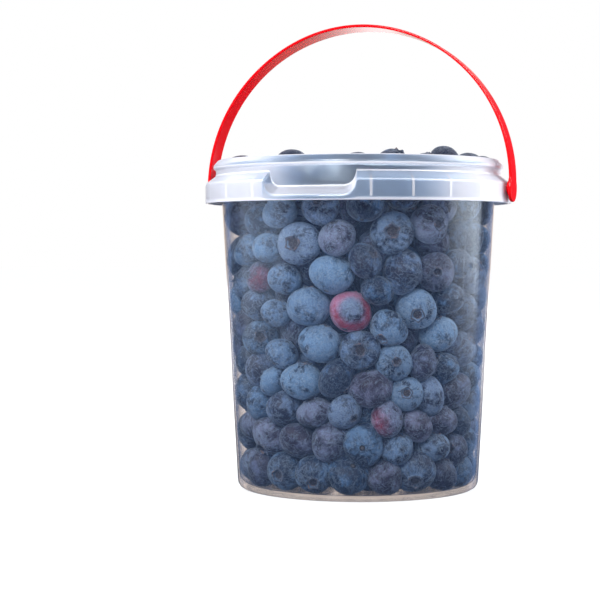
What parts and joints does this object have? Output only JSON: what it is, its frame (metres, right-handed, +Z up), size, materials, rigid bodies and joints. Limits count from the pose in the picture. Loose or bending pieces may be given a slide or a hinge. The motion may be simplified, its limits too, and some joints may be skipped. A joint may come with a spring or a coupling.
{
  "type": "pail of blueberries",
  "caption": "Round translucent plastic pail with a hinged red bail handle, open and heaped with blueberries.",
  "frame": {"origin": "centre of the pail's base, on the surface that it stands on", "axes": "+Z up, X along the handle's hinge line, -Y towards the notch in the skirt"},
  "size_m": [0.1304, 0.125, 0.1892],
  "materials": {
    "clear_plastic": "clear, slightly milky moulded plastic, glossy, with fine upright flow marks",
    "red_plastic": "smooth glossy moulded plastic, bright red",
    "berry_skin": "ripe berry skin, dark blue under a pale blue-grey bloom"
  },
  "bodies": {
    "tub": {"pail": "clear_plastic", "berries": "berry_skin"},
    "bail": {"handle": "red_plastic"}
  },
  "joints": [
    {"name": "bail_swing", "type": "hinge", "parent": "tub", "child": "bail", "pos_m": [0, 0, 0.1218], "axis": [1, 0, 0], "range_deg": [-112, 118]}
  ]
}
